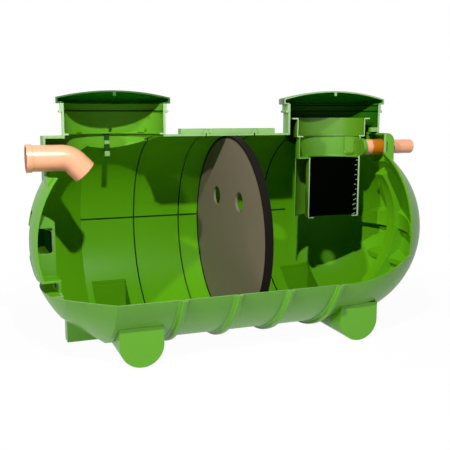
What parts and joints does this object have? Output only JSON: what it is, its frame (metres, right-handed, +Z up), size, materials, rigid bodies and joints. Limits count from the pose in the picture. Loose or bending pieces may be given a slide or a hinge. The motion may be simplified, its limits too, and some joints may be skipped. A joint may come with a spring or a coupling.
{
  "type": "septic tank",
  "caption": "Ribbed horizontal septic tank in cutaway, with access turrets, half lids, inlet elbow, outlet pipe, inner partition and a filter in the outlet turret.",
  "frame": {"origin": "middle of the bounding box at floor level", "axes": "+X along the barrel from inlet to outlet, +Y to the uncut side, +Z up"},
  "size_m": [2.7222, 1.3116, 1.639],
  "materials": {
    "shell": "moulded satin green",
    "collar": "moulded satin green",
    "lid": "dark green, satin",
    "pipe": "smooth orange drain pipe",
    "partition": "matte grey brown",
    "seal": "black rubber",
    "filter": "satin green",
    "media": "black filter medium"
  },
  "bodies": {
    "root": {"bay_1_upper": "shell", "bay_1_lower": "shell", "bay_2_upper": "shell", "bay_2_lower": "shell", "bay_3_upper": "shell", "bay_3_lower": "shell", "bay_4_upper": "shell", "bay_4_lower": "shell", "bay_5_upper": "shell", "bay_5_lower": "shell", "ring_1": "shell", "ring_2": "shell", "ring_3": "shell", "ring_4": "shell", "roof_spine": "shell", "inlet_cone": "shell", "inlet_dish": "shell", "outlet_dome": "shell", "inlet_pockets": "shell", "outlet_pockets": "shell", "inlet_block": "shell", "outlet_block": "shell", "foot_inlet": "shell", "foot_outlet": "shell", "keel_inlet": "shell", "keel_outlet": "shell", "inlet_neck": "shell", "outlet_neck": "shell", "neck_strap": "shell", "neck_tab_left": "shell", "neck_tab_right": "shell", "outlet_lug": "shell", "inlet_collar": "collar", "outlet_collar": "collar", "inlet_lid": "lid", "outlet_lid": "lid", "inlet_pipe": "pipe", "inlet_elbow": "pipe", "outlet_pipe": "pipe", "partition": "partition", "partition_seal": "seal", "filter_cup": "filter", "filter_body": "filter", "filter_basket": "filter", "filter_media": "media"}
  },
  "joints": []
}
